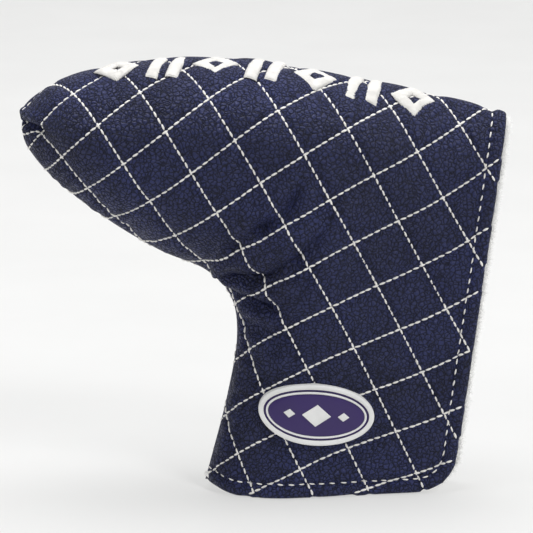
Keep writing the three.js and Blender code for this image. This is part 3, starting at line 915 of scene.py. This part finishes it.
def lining_half(settings, rear):
    """One side of the lining as a closed skin: outer face, a round lip along the open edge
    that stands a little proud of the leather, and the inner face. Returns the piece and what
    its pile needs: the lip with its outward directions and normals, and the inner face with
    the directions into the pocket."""
    outer, inner = lining_grids()
    normals = grid_normals(outer)
    first = open_row(LINING_ALONG)
    path, normal, out = edge_path(outer, normals, first)
    inside = edge_path(inner, normals, first)[0]
    middle, half_gap = (path + inside) / 2, (path - inside) / 2
    run = lengths(path)
    proud = smooth((run + 0.5) / 8) * smooth((run[-1] - run + 0.5) / 8)
    proud = proud[:, None, None] * np.where(out[:, None, 2:] < -0.5, 0.5, 1.0) * LINING_PROUD
    turn = LIP_TURN[:, None]
    lip = middle[:, None] + np.cos(turn) * half_gap[:, None] + np.sin(turn) * proud * out[:, None]
    half = one_side(LINING_DOWN, rear)
    ends = one_side((outer.shape[0] - first) + LINING_DOWN - 1, rear)
    lip = lip[ends]
    faces, index = sheet_faces(*outer[:, half].shape[:2])
    shift = index.max() + 1
    faces = faces + [f[:, ::-1] + shift for f in faces]
    rim = open_rim(index, first, rear)[:, None]
    rows = 2 * shift + np.arange(lip.shape[0] * lip.shape[1]).reshape(lip.shape[:2])
    faces.append(quads(np.concatenate([rim, rows, rim + shift], axis=1)[:, ::-1]))
    points = [sheet_points(outer[:, half]), sheet_points(inner[:, half]), lip.reshape(-1, 3)]
    name = "plush_rear" if rear else "plush_front"
    material = plush_material(tuple(settings.lining_colour))
    piece = make_mesh(name, np.concatenate(points), faces, material)
    return piece, lip, out[ends], normal[ends], inner[:, half], -normals[:, half]


def tufts(roots, lean, length, radius, seed, steps=2):
    """Tapered strands of pile: from each root a quadratic curve that leans and droops, with a
    three-sided section narrowing to a point."""
    rng = np.random.default_rng(seed)
    count = len(roots)
    lean = unit(lean + rng.normal(0, 0.55, (count, 3)))
    curl = rng.normal(0, 0.45, (count, 3))
    reach = length * rng.uniform(0.55, 1.15, count)[:, None, None]
    q = np.linspace(0, 1, steps + 1)[None, :, None]
    spine = roots[:, None] + reach * (q * lean[:, None] + q ** 2 * curl[:, None] * 0.6)
    side = unit(np.cross(lean, rng.normal(size=(count, 3))))
    other = np.cross(side, lean)
    angle = np.linspace(0, 2 * math.pi, 3, endpoint=False)[None, None, :, None]
    ring = np.cos(angle) * side[:, None, None] + np.sin(angle) * other[:, None, None]
    thick = radius * (1 - 0.92 * q ** 1.5)[..., None]
    points = spine[:, :, None] + thick * ring
    return points.reshape(-1, 3), tube_faces(count, steps + 1, 3)


def pile_piece(settings, name, lip, out, normal, inner, inward, rear):
    """Pile along the lip on the heel edge and, more thinly, over the inner face where the
    pocket is open."""
    rng = np.random.default_rng(40 + rear)
    heel = np.flatnonzero(out[:, 0] > 0.5)
    place = rng.choice(heel, LIP_TUFTS)
    round_lip = rng.integers(0, lip.shape[1], LIP_TUFTS)
    turn = LIP_TURN[round_lip][:, None]
    lean = 0.6 * np.cos(turn) * normal[place] + np.sin(turn) * out[place]
    roots = lip[place, round_lip] + rng.uniform(-0.25, 0.25, (LIP_TUFTS, 3))
    open_enough = np.argwhere(np.abs(inner[..., 1]) > OPEN_ENOUGH)
    i, j = open_enough[rng.integers(0, len(open_enough), INNER_TUFTS)].T
    roots = np.concatenate([roots, inner[i, j] + rng.uniform(-0.4, 0.4, (INNER_TUFTS, 3))])
    lean = np.concatenate([lean, inward[i, j]])
    points, faces = tufts(roots, lean, settings.pile_length / MM, TUFT_RADIUS, 50 + rear)
    points[:, 2] = np.maximum(points[:, 2], TUFT_FLOOR)
    return make_mesh(name, points, faces, plush_material(tuple(settings.lining_colour)))


# ---------- embroidered marks ----------
def mark_patch(x, lean, offset, reach=9.0, step=0.4):
    """The plain body near a mark as a grid over the mark's own axes: a along the sole and b
    across it, where b is measured on a plane that leans towards the front."""
    columns, crest, fall, height, _ = cloth_table()
    along = np.arange(x - reach, x + reach + step, step)
    pick = np.clip(np.searchsorted(columns, along), 1, len(columns) - 1)
    top = np.interp(x, columns, crest)
    rows = np.concatenate([-np.arange(60, 0, -1), np.arange(61)])
    z = crest[pick][:, None] - fall[np.abs(rows)]
    y = np.where(rows > 0, -1, 1) * height[pick][:, np.abs(rows)]
    b = (y + offset) * math.cos(lean) + (z - top) * math.sin(lean)
    at = np.arange(-reach, reach + step, step)
    patch = np.empty((len(pick), len(at), 3))
    for k, column in enumerate(pick):
        order = np.argsort(b[k])
        patch[k, :, 0] = x - reach + k * step
        patch[k, :, 1] = np.interp(at, b[k][order], y[k][order])
        patch[k, :, 2] = np.interp(at, b[k][order], z[k][order])
    normal = unit(np.cross(np.gradient(patch, axis=0), np.gradient(patch, axis=1)))
    return patch, normal, reach, step


def on_patch(patch, a, b):
    """Position and normal of points given in the mark's axes, by bilinear interpolation."""
    grid, normal, reach, step = patch
    u, v = (a + reach) / step, (b + reach) / step
    return sample(grid, u, v), sample(normal, u, v)


def satin_stroke(patch, start, end, width, seed, cut=0.0, pitch=0.34, radius=0.25):
    """A raised satin-stitch bar. Threads lie side by side across the stroke, each an arch of
    height (1 - s^2)^0.5 over the stroke's width; cut leans the ends of the bar for a mitre."""
    rng = np.random.default_rng(seed)
    start, end = np.array(start, float), np.array(end, float)
    span = np.linalg.norm(end - start)
    along = (end - start) / span
    across = np.array([-along[1], along[0]])
    count = max(int(span / pitch), 2)
    place = (np.arange(count) + 0.5) * span / count + rng.normal(0, 0.02, count)
    s = np.linspace(-1, 1, 8)
    edge = width / 2 * (1 + rng.normal(0, 0.025, (count, 1)))
    shift = cut * s[None] * (1 - 2 * place[:, None] / span) + 0.25 * s[None]
    spot = start + (place[:, None] + shift)[..., None] * along + (s[None] * edge)[..., None] * across
    base, up = on_patch(patch, spot[..., 0], spot[..., 1])
    ends = np.minimum(place, span - place)[:, None] / 0.9
    arch = np.sqrt(np.clip(1 - s ** 2 * 0.97, 0, 1))[None]
    crown = MARK_RAISE * (0.35 + 0.65 * smooth(ends + 0.25)) * arch
    spine = base + (crown - 0.1)[..., None] * up
    beside = unit(np.cross(unit(np.gradient(spine, axis=1)), up))
    angle = np.linspace(0, 2 * math.pi, 5, endpoint=False)
    ring = np.cos(angle)[:, None] * beside[:, :, None] + np.sin(angle)[:, None] * up[:, :, None]
    points = spine[:, :, None] + radius * rng.normal(1, 0.05, (count, 1, 1, 1)) * ring
    return points.reshape(-1, 3), tube_faces(count, len(s), 5)


def join(parts):
    """One mesh from several (points, faces), with vertex numbers moved on."""
    start, points, faces = 0, [], []
    for part, polygons in parts:
        points.append(part)
        faces += [polygon + start for polygon in polygons]
        start += len(part)
    return np.concatenate(points), faces


def mark_place(x):
    """Lean and offset of a mark, which grow towards the heel where the sole narrows."""
    share = (x + MARK_PITCH * 3) / (MARK_PITCH * 6)
    return math.radians(mix(12, 36, share)), mix(4.5, 6.5, share)


def diamond(x, seed):
    """Four mitred strokes round a rhombus."""
    patch = mark_patch(x, *mark_place(x))
    wide, high = (DIAMOND_WIDTH - MARK_STROKE * 1.3) / 2, (MARK_HEIGHT - MARK_STROKE * 1.3) / 2
    corners = [(wide, 0), (0, high), (-wide, 0), (0, -high)]
    strokes = []
    for k in range(4):
        a, b = np.array(corners[k]), np.array(corners[(k + 1) % 4])
        reach = (b - a) / np.linalg.norm(b - a) * MARK_STROKE * 0.32
        strokes.append(satin_stroke(patch, a - reach, b + reach, MARK_STROKE, seed + k, cut=0.5))
    return join(strokes)


def slanted_bar(x, shift, seed):
    """One stroke that leans along the sole, shifted from the middle of its pair."""
    patch = mark_patch(x, *mark_place(x))
    low, high = (shift - BAR_SLANT / 2, -MARK_HEIGHT / 2), (shift + BAR_SLANT / 2, MARK_HEIGHT / 2)
    return satin_stroke(patch, low, high, MARK_STROKE, seed)


# ---------- badge ----------
def badge_mesh(name, node, a, b, height, material):
    """Closed rings of points on the badge side, given by rows of a and b from the middle of a
    CAD node's box, turned by the badge's tilt, at a height over the smooth body."""
    low, high = (np.array(corner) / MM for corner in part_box(node))
    middle = (low + high) / 2
    x = middle[0] + a * math.cos(BADGE_TILT) - b * math.sin(BADGE_TILT)
    z = middle[2] + a * math.sin(BADGE_TILT) + b * math.cos(BADGE_TILT)
    points = np.stack([x, -half_thickness(x, z) - height, z], axis=-1)
    index = np.arange(x.size).reshape(x.shape)
    faces = [quads(np.concatenate([index, index[:, :1]], axis=1))[:, ::-1], index[-1:]]
    return make_mesh(name, points.reshape(-1, 3), faces, material)


def plate(name, profile, material, turns=144):
    """An oval plate. Each row of the profile is an oval: how far it is set in from the
    badge's outline, a scale towards the middle, and its height over the smooth body."""
    inset, scale, height = np.array(profile, float).T[..., None]
    low, high = (np.array(corner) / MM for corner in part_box("badge_base"))
    half = (high - low) / 2
    angle = np.linspace(0, 2 * math.pi, turns, endpoint=False)
    a = np.cos(angle) * (half[0] - inset) * scale
    b = np.sin(angle) * (half[2] - inset) * scale
    return badge_mesh(name, "badge_base", a, b, height, material)


def past_rim(inset, height, scale=1.0):
    """A profile row set in from the inner side of the badge's rim."""
    return RIM_WIDTH + inset, scale, height


def round_shoulder(inset, low, high, radius, steps=4):
    """Profile rows up a wall and round its top edge with a quarter circle."""
    turn = np.linspace(0, math.pi / 2, steps + 1)
    curve = [(inset + radius * (1 - math.cos(t)), 1.0, high - radius * (1 - math.sin(t))) for t in turn]
    return [(inset, 1.0, low), *curve]


def lozenge(name, width, height, low, high, material, steps=10, shift=0.0):
    """A raised rhombus with softened edges: rings |a| / w + |b| / h = scale, at rising height."""
    around = np.linspace(0, 4, 4 * steps, endpoint=False)
    corner = np.array([(1, 0), (0, 1), (-1, 0), (0, -1), (1, 0)], float)
    a, b = (np.interp(around, np.arange(5), corner[:, k]) for k in range(2))
    rows = [(1.0, low), (1.0, high - 0.18), (0.97, high - 0.06), (0.92, high), (0.4, high + 0.03)]
    scale, level = np.array(rows).T[..., None]
    a = a[None] * scale * width / 2 + shift
    b = b[None] * scale * height / 2
    return badge_mesh(name, "badge_emblem", a, b, level, material)


# ---------- settings a user may change ----------
def colour_property(name, description, default):
    return bpy.props.FloatVectorProperty(
        name=name, description=description, subtype="COLOR", size=3, min=0, max=1, default=default)


def length_property(name, description, default, low, high):
    return bpy.props.FloatProperty(
        name=name, description=description, default=default, min=low, max=high, unit="LENGTH")


class PutterCoverSettings(bpy.types.PropertyGroup):
    """Sizes and colours of the cover's finish."""
    leather_colour: colour_property("Leather", "Colour of the quilted leather", (0.0130, 0.0180, 0.074))
    thread_colour: colour_property("Thread", "Colour of the stitching and embroidery", (0.93, 0.91, 0.87))
    lining_colour: colour_property("Lining", "Colour of the plush", (0.95, 0.945, 0.93))
    white_colour: colour_property("Badge rim", "Colour of the badge's rim and emblem", (0.83, 0.83, 0.82))
    field_colour: colour_property("Badge field", "Colour of the badge's field", (0.028, 0.010, 0.110))
    puff: length_property("Puff", "Height of the quilting over its stitched lines", 0.0012, 0, 0.003)
    stitch_pitch: length_property(
        "Stitch pitch", "Distance between quilting stitches", 0.00225, 0.001, 0.005)
    stitch_length: length_property(
        "Stitch length", "Visible length of a quilting stitch", 0.0021, 0.0005, 0.005)
    thread_width: length_property(
        "Thread width", "Width of the quilting thread", 0.00064, 0.0002, 0.0015)
    pile_length: length_property("Pile length", "Length of the plush pile", 0.0013, 0.0005, 0.006)


class StageSettings(bpy.types.PropertyGroup):
    """Camera and light."""
    distance: bpy.props.FloatProperty(
        name="Distance", description="Camera distance from the cover", default=1.0, unit="LENGTH")
    elevation: bpy.props.FloatProperty(
        name="Elevation", description="Height angle of the camera", default=math.radians(13), subtype="ANGLE")
    lens: bpy.props.FloatProperty(name="Lens", description="Focal length in millimetres", default=218.0)
    brightness: bpy.props.FloatProperty(name="Brightness", description="Scale of all lights", default=1.0)


# ---------- operators ----------
class PUTTERCOVER_OT_leather(bpy.types.Operator):
    """Build the quilted leather, front and rear, with its rolled border"""
    bl_idname = "puttercover.leather"
    bl_label = "Quilted Leather"

    def execute(self, context):
        settings = context.scene.putter_cover
        front = quilted_half(settings, rear=False)
        place_piece(front, stands_for=("quilted_outer", "foam_wadding", "front_hem"))
        rear = quilted_half(settings, rear=True)
        nodes = ("rear_flap_outer", "rear_flap_wadding", "rear_flap_hem")
        place_piece(rear, rear=True, stands_for=nodes)
        return {"FINISHED"}


class PUTTERCOVER_OT_quilting(bpy.types.Operator):
    """Sew the quilting lines and the hem with separate thread stitches"""
    bl_idname = "puttercover.quilting"
    bl_label = "Quilting Stitches"

    def execute(self, context):
        settings = context.scene.putter_cover
        cloth = quilted_cloth(settings.puff / MM)
        quilting = (settings.stitch_pitch / MM, settings.stitch_length / MM, settings.thread_width / MM / 2)
        hem = (HEM_PITCH, HEM_LENGTH, HEM_RADIUS)
        for rear, side in ((False, "front"), (True, "rear")):
            runs = quilt_runs(cloth, rear)
            if not runs:
                raise RuntimeError("the quilting lines miss the cloth")
            thread_piece(f"quilting_{side}", runs, settings, *quilting, 11 + rear, rear)
            thread_piece(f"hem_stitching_{side}", hem_runs(cloth, rear), settings, *hem, 21 + rear, rear)
        return {"FINISHED"}


class PUTTERCOVER_OT_lining(bpy.types.Operator):
    """Build the plush lining and its pile"""
    bl_idname = "puttercover.lining"
    bl_label = "Plush Lining"

    def execute(self, context):
        settings = context.scene.putter_cover
        for rear, side, node in ((False, "front", "plush_lining"), (True, "rear", "rear_flap_lining")):
            skin, *where = lining_half(settings, rear)
            place_piece(skin, rear, stands_for=(node,))
            pile = pile_piece(settings, f"pile_{side}", *where, rear)
            place_piece(pile, rear)
        return {"FINISHED"}


class PUTTERCOVER_OT_marks(bpy.types.Operator):
    """Embroider the diamonds and bars along the sole"""
    bl_idname = "puttercover.marks"
    bl_label = "Embroidered Marks"

    def execute(self, context):
        settings = context.scene.putter_cover
        # The marks' thread is a darker copy of the stitching thread, painted shade for the brighter light on
        # the crest.
        thread = thread_material(shade(settings.thread_colour, MARK_PAINTED_SHADE))
        marks = []
        for k in range(4):
            node = f"stitched_diamond_{k + 1}"
            marks.append((f"satin_diamond_{k + 1}", node, diamond(middle_x(node), 60 + 4 * k)))
        for k in range(6):
            node = f"stitched_bar_{k + 1}"
            pair = f"stitched_bar_{k // 2 * 2 + 1}", f"stitched_bar_{k // 2 * 2 + 2}"
            centre = (middle_x(pair[0]) + middle_x(pair[1])) / 2
            marks.append((f"satin_bar_{k + 1}", node, slanted_bar(centre, middle_x(node) - centre, 80 + k)))
        for name, node, (points, faces) in marks:
            place_piece(make_mesh(name, points, faces, thread), stands_for=(node,))
        return {"FINISHED"}


class PUTTERCOVER_OT_badge(bpy.types.Operator):
    """Build the moulded oval badge"""
    bl_idname = "puttercover.badge"
    bl_label = "Rubber Badge"

    def execute(self, context):
        settings = context.scene.putter_cover
        white = rubber_material("white_rubber", tuple(settings.white_colour), 0.42)
        purple = rubber_material("purple_rubber", tuple(settings.field_colour), 0.36)
        rim = [*round_shoulder(0, -1.2, 2.1, 0.45), past_rim(-0.2, 2.1), past_rim(0, 1.9), past_rim(0, 1.4),
               past_rim(1.2, 1.4), past_rim(1.2, 1.4, 0.5), past_rim(1.2, 1.4, 0.05)]
        ring = [*round_shoulder(RIM_WIDTH + 0.75, 1.2, 2.05, 0.15), past_rim(1.35, 2.05), past_rim(1.4, 1.3)]
        band = [past_rim(0.02, 1.2), past_rim(0.02, 1.55), past_rim(0.74, 1.55), past_rim(0.74, 1.2)]
        field = [*round_shoulder(RIM_WIDTH + 1.45, 1.3, 1.95, 0.2), past_rim(1.65, 2.02, 0.9),
                 past_rim(1.65, 2.08, 0.6), past_rim(1.65, 2.1, 0.3), past_rim(1.65, 2.1, 0.04)]
        base = plate("badge_rim", rim, white)
        place_piece(base, stands_for=("badge_base",))
        place_piece(plate("badge_inner_ring", ring, white))
        place_piece(plate("badge_band", band, purple))
        face = plate("badge_face", field, purple)
        place_piece(face, stands_for=("badge_field",))
        emblem = lozenge("badge_lozenge", 9.0, 7.0, 2.0, 2.6, white)
        place_piece(emblem, stands_for=("badge_emblem",))
        for k, shift in ((1, -8.4), (2, 8.4)):
            small = lozenge(f"badge_stud_{k}", 3.6, 2.8, 2.0, 2.5, white, shift=shift)
            place_piece(small)
        return {"FINISHED"}


class PUTTERCOVER_OT_inside(bpy.types.Operator):
    """Give the fastening tapes and the seam turning their finishes"""
    bl_idname = "puttercover.inside"
    bl_label = "Tapes and Seam"

    def execute(self, context):
        settings = context.scene.putter_cover
        finishes = {"hook_strip": tape_material(), "loop_strip": tape_material(),
                    "seam_allowance": leather_material(tuple(settings.leather_colour))}
        for node, material in finishes.items():
            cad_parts[node].data.materials.clear()
            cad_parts[node].data.materials.append(material)
        return {"FINISHED"}


class PUTTERCOVER_OT_stage(bpy.types.Operator):
    """Set up a pale floor, soft light and the camera"""
    bl_idname = "puttercover.stage"
    bl_label = "Stage"

    def execute(self, context):
        settings = context.scene.putter_stage
        low, high = (np.array(corner) for corner in CAD_BOX)
        scene = context.scene
        camera = bpy.data.objects.new("camera", bpy.data.cameras.new("camera"))
        scene.collection.objects.link(camera)
        middle = Vector(((low[0] + high[0]) / 2, 0.0, (low[2] + high[2]) / 2))
        aim = middle + Vector(AIM_SHIFT)
        back = Vector((0.0, -math.cos(settings.elevation), math.sin(settings.elevation)))
        camera.location = aim + settings.distance * back
        camera.rotation_euler = (-back).to_track_quat("-Z", "Y").to_euler()
        camera.data.lens = settings.lens
        camera.data.clip_end = 20
        scene.camera = camera
        path = spline(BACKDROP, 16)
        wide = np.array([-1.0, 0.0, 1.0]) * BACKDROP_HALF_WIDTH
        points = np.stack(np.broadcast_arrays(wide[:, None], path[None, :, 0], path[None, :, 1]), axis=-1)
        index = np.arange(points.shape[0] * points.shape[1]).reshape(points.shape[:2])
        make_mesh("backdrop", points.reshape(-1, 3), [quads(index)], floor_material())
        for name, place, target, size, power in LIGHTS:
            lamp = bpy.data.lights.new(name, "AREA")
            lamp.shape = "SQUARE"
            lamp.size = size
            lamp.energy = power * settings.brightness
            holder = bpy.data.objects.new(name, lamp)
            holder.location = place
            holder.rotation_euler = (Vector(target) - Vector(place)).to_track_quat("-Z", "Y").to_euler()
            scene.collection.objects.link(holder)
        world = bpy.data.worlds.new("studio")
        world.use_nodes = True
        world.node_tree.nodes["Background"].inputs["Color"].default_value = (0.95, 0.97, 1.0, 1.0)
        world.node_tree.nodes["Background"].inputs["Strength"].default_value = WORLD_STRENGTH
        scene.world = world
        scene.view_settings.view_transform = "Standard"
        return {"FINISHED"}


class PUTTERCOVER_PT_panel(bpy.types.Panel):
    """Sidebar panel with the settings and one button for each step"""
    bl_label = "Putter Cover"
    bl_idname = "PUTTERCOVER_PT_panel"
    bl_space_type = "VIEW_3D"
    bl_region_type = "UI"
    bl_category = "Putter Cover"

    def draw(self, context):
        layout = self.layout
        for group in (context.scene.putter_cover, context.scene.putter_stage):
            box = layout.box()
            for name in group.__annotations__:
                box.prop(group, name)
        for step in STEPS:
            layout.operator(step.bl_idname)


STEPS = (PUTTERCOVER_OT_stage, PUTTERCOVER_OT_leather, PUTTERCOVER_OT_quilting, PUTTERCOVER_OT_lining,
         PUTTERCOVER_OT_marks, PUTTERCOVER_OT_badge, PUTTERCOVER_OT_inside)
CLASSES = (PutterCoverSettings, StageSettings, *STEPS, PUTTERCOVER_PT_panel)


def register():
    for cls in CLASSES:
        bpy.utils.register_class(cls)
    bpy.types.Scene.putter_cover = bpy.props.PointerProperty(type=PutterCoverSettings)
    bpy.types.Scene.putter_stage = bpy.props.PointerProperty(type=StageSettings)


def unregister():
    del bpy.types.Scene.putter_stage
    del bpy.types.Scene.putter_cover
    for cls in reversed(CLASSES):
        bpy.utils.unregister_class(cls)


def main():
    """Register the add-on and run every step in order."""
    register()
    for step in STEPS:
        group, action = step.bl_idname.split(".")
        getattr(getattr(bpy.ops, group), action)()


if __name__ == "__main__":
    main()
